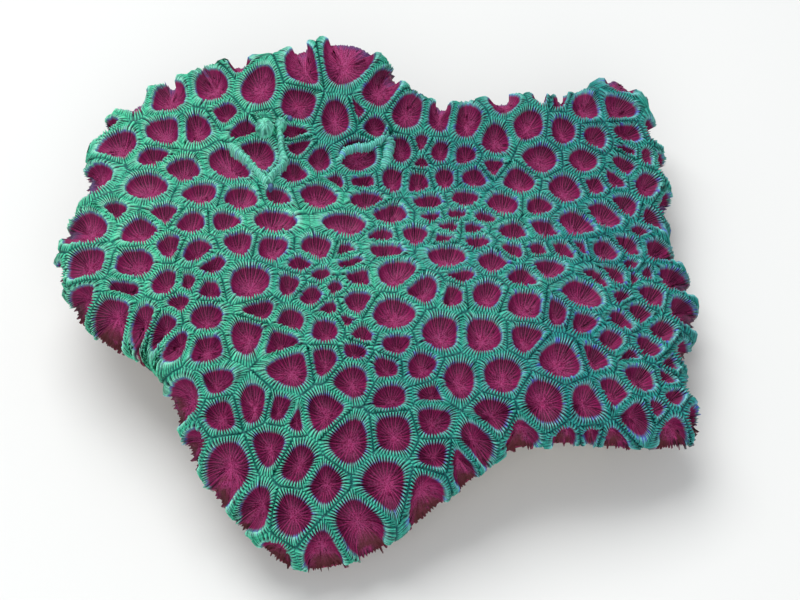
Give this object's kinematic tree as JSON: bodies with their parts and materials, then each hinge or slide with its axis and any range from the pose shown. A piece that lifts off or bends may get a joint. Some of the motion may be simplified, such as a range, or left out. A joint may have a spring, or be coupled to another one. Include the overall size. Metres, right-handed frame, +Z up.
{
  "type": "brain coral",
  "caption": "A living plate of honeycomb brain coral: polygonal pits walled by ridges, a rolled ragged rim, and a bare underside cut off flat to rest on",
  "frame": {"origin": "centre of the bounding box at the flat cut underneath", "axes": "+Z up from the cut, +X along the colony's longest side, +Y to the back lobe, -Y to the lobe nearest the viewer"},
  "size_m": [0.1208, 0.1126, 0.0296],
  "materials": {
    "living wall": "satin"
  },
  "bodies": {
    "root": {"colony": "living wall"}
  },
  "joints": []
}
